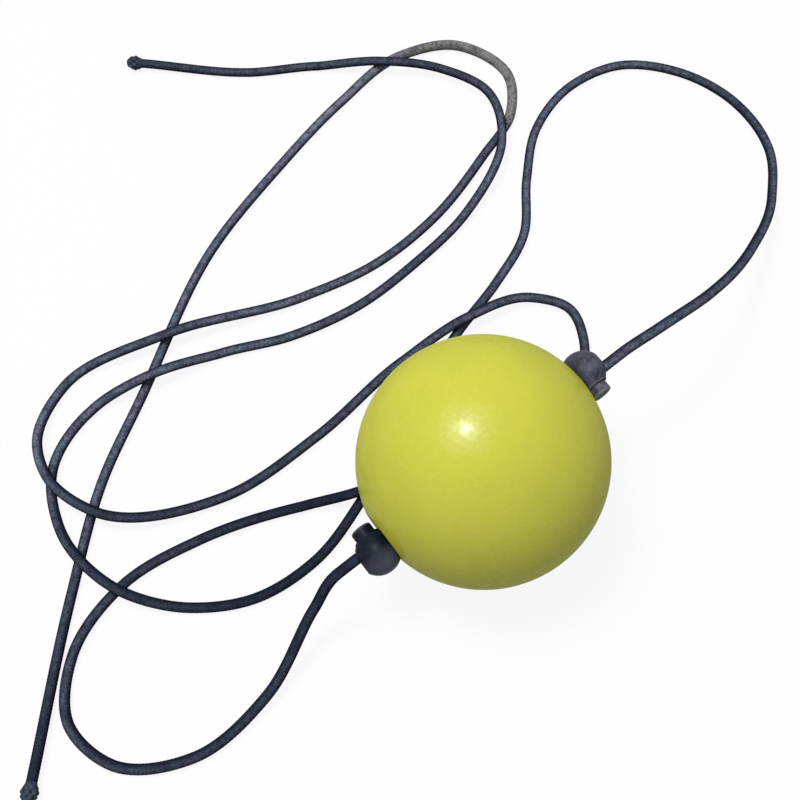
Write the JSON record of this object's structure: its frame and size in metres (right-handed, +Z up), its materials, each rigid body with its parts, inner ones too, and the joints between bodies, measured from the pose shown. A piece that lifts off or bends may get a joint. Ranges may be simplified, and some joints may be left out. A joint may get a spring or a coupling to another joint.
{
  "type": "boxing reflex ball",
  "caption": "Soft round ball threaded on a long elastic cord, held at either side by a sprung ball-shaped cord lock, with a stopper knot in each free end of the cord.",
  "frame": {"origin": "on the floor under the ball's centre, in the middle of the small flat the soft ball rests on", "axes": "+Z up, +X to the right and +Y away as the ball is seen from the front, with the cord lying mostly to the left and behind"},
  "size_m": [0.2285, 0.2497, 0.0656],
  "materials": {
    "ball_foam": "satin",
    "cord_braid": "matte",
    "lock_plastic": "satin",
    "plunger_plastic": "satin",
    "spring_steel": "satin"
  },
  "bodies": {
    "cord": {"cord_through": "cord_braid", "cord_upper": "cord_braid", "cord_lower": "cord_braid", "knot_upper": "cord_braid", "knot_lower": "cord_braid"},
    "ball": {"ball": "ball_foam"},
    "upper_lock": {"upper_lock_body": "lock_plastic", "upper_lock_spring": "spring_steel"},
    "upper_button": {"upper_lock_plunger": "plunger_plastic"},
    "lower_lock": {"lower_lock_body": "lock_plastic", "lower_lock_spring": "spring_steel"},
    "lower_button": {"lower_lock_plunger": "plunger_plastic"}
  },
  "joints": [
    {"name": "ball_spin", "type": "hinge", "parent": "cord", "child": "ball", "pos_m": [0, 0, 0.03275], "axis": [0.7899, 0.5952, 0.1478], "continuous": true},
    {"name": "upper_lock_slide", "type": "slide", "parent": "cord", "child": "upper_lock", "axis": [0.7899, 0.5952, 0.1478], "range_m": [0, 0.005]},
    {"name": "lower_lock_slide", "type": "slide", "parent": "cord", "child": "lower_lock", "axis": [-0.7899, -0.5952, -0.1478], "range_m": [0, 0.005]},
    {"name": "upper_button_press", "type": "slide", "parent": "upper_lock", "child": "upper_button", "axis": [-0.6086, 0.7905, 0.069], "range_m": [0, 0.0015], "stiffness_N_per_m": 1000, "springref_m": -0.003, "deforming": ["upper_lock_spring"]},
    {"name": "lower_button_press", "type": "slide", "parent": "lower_lock", "child": "lower_button", "axis": [0.6086, -0.7905, -0.069], "range_m": [0, 0.0015], "stiffness_N_per_m": 1000, "springref_m": -0.003, "deforming": ["lower_lock_spring"]}
  ]
}
